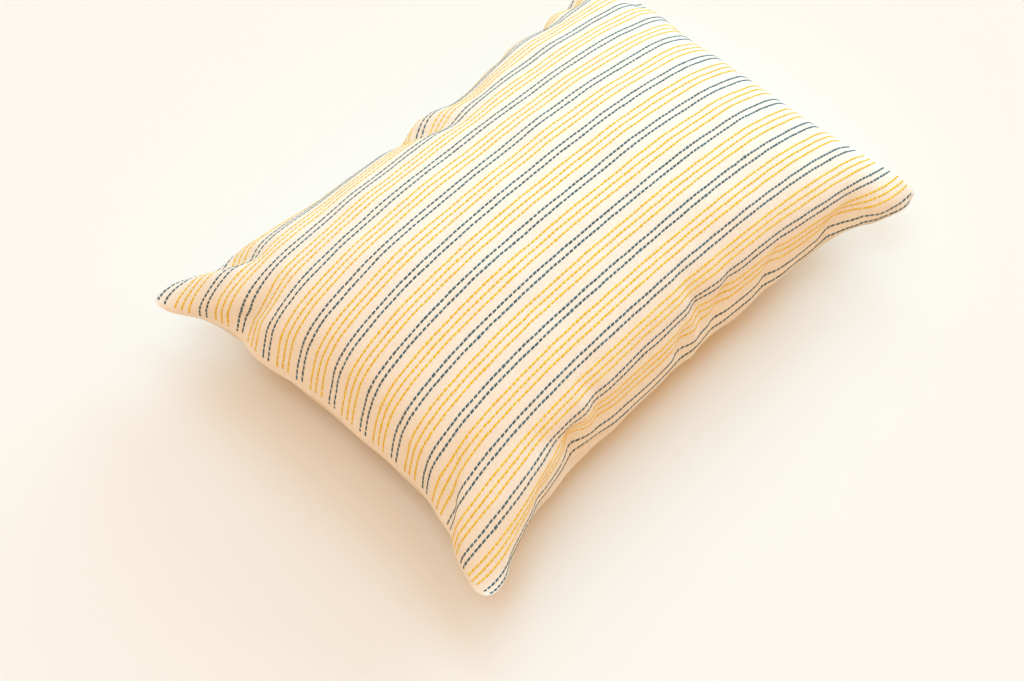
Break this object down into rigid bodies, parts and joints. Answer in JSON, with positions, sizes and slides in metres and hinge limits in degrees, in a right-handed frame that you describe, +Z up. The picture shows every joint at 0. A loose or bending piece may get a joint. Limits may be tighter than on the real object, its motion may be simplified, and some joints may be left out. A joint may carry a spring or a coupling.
{
  "type": "lumbar pillow",
  "caption": "Oblong filled lumbar pillow with a knife-edge seam, drawn-in sides and pointed corners, lying on its back.",
  "frame": {"origin": "centre of the bounding box in plan, at the height of the surface that the pillow lies on", "axes": "+X along the pillow's length, which is the direction of its stripes, +Y across it, +Z up out of the striped front"},
  "size_m": [0.495, 0.3462, 0.148],
  "materials": {
    "cover": "matte cream woven cotton with dashed navy and mustard stripes"
  },
  "bodies": {
    "root": {"pillow": "cover"}
  },
  "joints": []
}
